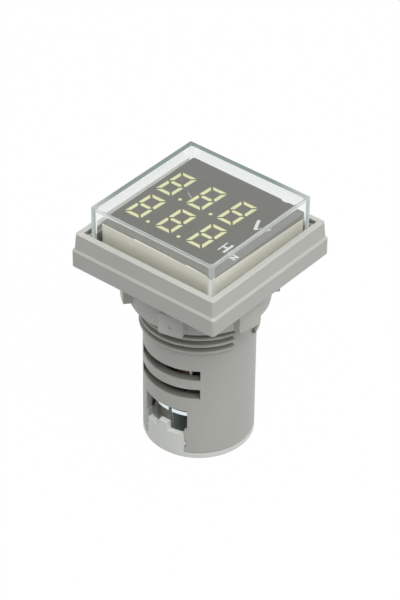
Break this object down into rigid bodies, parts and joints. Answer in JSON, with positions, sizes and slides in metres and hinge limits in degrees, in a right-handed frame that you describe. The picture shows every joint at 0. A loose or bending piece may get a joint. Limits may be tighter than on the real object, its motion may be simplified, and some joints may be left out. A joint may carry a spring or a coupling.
{
  "type": "digital panel meter",
  "caption": "Square-faced digital panel meter with two rows of seven-segment digits under a clear cover, a threaded barrel with a locking nut, cooling slots and rear wire terminals.",
  "frame": {"origin": "centre of the barrel, on the underside of the bezel where it seats on the panel", "axes": "+Z out of the display, away from the panel; +X to the right of the display; +Y to its top"},
  "size_m": [0.032, 0.032, 0.0496],
  "materials": {
    "housing_plastic": "satin moulded",
    "clear_plastic": "clear polished",
    "case_plastic": "satin moulded cream",
    "tinted_film": "fine matt tinted",
    "segment_resin": "translucent resin",
    "led_chip": "clear encapsulated",
    "circuit_board": "green solder mask",
    "tinned_metal": "tinned bright",
    "black_plastic": "matt black moulded",
    "brown_resin": "dipped glossy",
    "black_sleeve": "printed sleeve",
    "resistor_lacquer": "lacquered",
    "tan_ceramic": "fired ceramic",
    "terminal_plastic": "matt grey-green moulded",
    "terminal_metal": "bright zinc plate",
    "screw_steel": "bright zinc plate",
    "seal_rubber": "matt black",
    "cover_plastic": "satin moulded"
  },
  "bodies": {
    "root": {"housing": "housing_plastic", "front_cover": "clear_plastic", "display_case": "case_plastic", "display_film": "tinted_film", "display_segments": "segment_resin", "led_chips": "led_chip", "display_board": "circuit_board", "display_pins": "tinned_metal", "driver_board": "circuit_board", "link_header": "black_plastic", "link_pins": "tinned_metal", "film_capacitor": "brown_resin", "filter_capacitor": "black_sleeve", "fusible_resistor": "resistor_lacquer", "resistor_leads": "tinned_metal", "bridge_rectifier": "black_plastic", "voltage_regulator": "black_plastic", "control_chip": "black_plastic", "chip_resistors": "black_plastic", "chip_capacitors": "tan_ceramic", "terminal_base": "terminal_plastic", "terminal_plates": "terminal_metal"},
    "sealing_ring": {"sealing_ring": "seal_rubber"},
    "lock_nut": {"lock_nut": "housing_plastic"},
    "left_clamp": {"left_clamp": "terminal_metal"},
    "left_screw": {"left_screw": "screw_steel"},
    "right_clamp": {"right_clamp": "terminal_metal"},
    "right_screw": {"right_screw": "screw_steel"},
    "rear_cover": {"rear_cover": "cover_plastic"}
  },
  "joints": [
    {"name": "ring_travel", "type": "slide", "parent": "root", "child": "sealing_ring", "axis": [0, 0, 1], "range_m": [-0.0105, 0]},
    {"name": "nut_turn", "type": "hinge", "parent": "sealing_ring", "child": "lock_nut", "pos_m": [0, 0, -0.0046], "axis": [0, 0, 1], "range_deg": [-2520, 0]},
    {"name": "left_clamp_travel", "type": "slide", "parent": "root", "child": "left_clamp", "axis": [0, 0, 1], "range_m": [-0.002, 0]},
    {"name": "left_screw_turn", "type": "hinge", "parent": "left_clamp", "child": "left_screw", "pos_m": [-0.0043, 0, -0.0301], "axis": [0, 0, 1], "range_deg": [-1440, 0]},
    {"name": "right_clamp_travel", "type": "slide", "parent": "root", "child": "right_clamp", "axis": [0, 0, 1], "range_m": [-0.002, 0]},
    {"name": "right_screw_turn", "type": "hinge", "parent": "right_clamp", "child": "right_screw", "pos_m": [0.0043, 0, -0.0301], "axis": [0, 0, 1], "range_deg": [-1440, 0]},
    {"name": "cover_pull", "type": "slide", "parent": "root", "child": "rear_cover", "axis": [0, 0, 1], "range_m": [-0.008, 0]}
  ],
  "couplings": [
    {"joint": "nut_turn", "follows": "ring_travel", "rad_per_m": 4188.7},
    {"joint": "left_screw_turn", "follows": "left_clamp_travel", "rad_per_m": 12566},
    {"joint": "right_screw_turn", "follows": "right_clamp_travel", "rad_per_m": 12566}
  ]
}
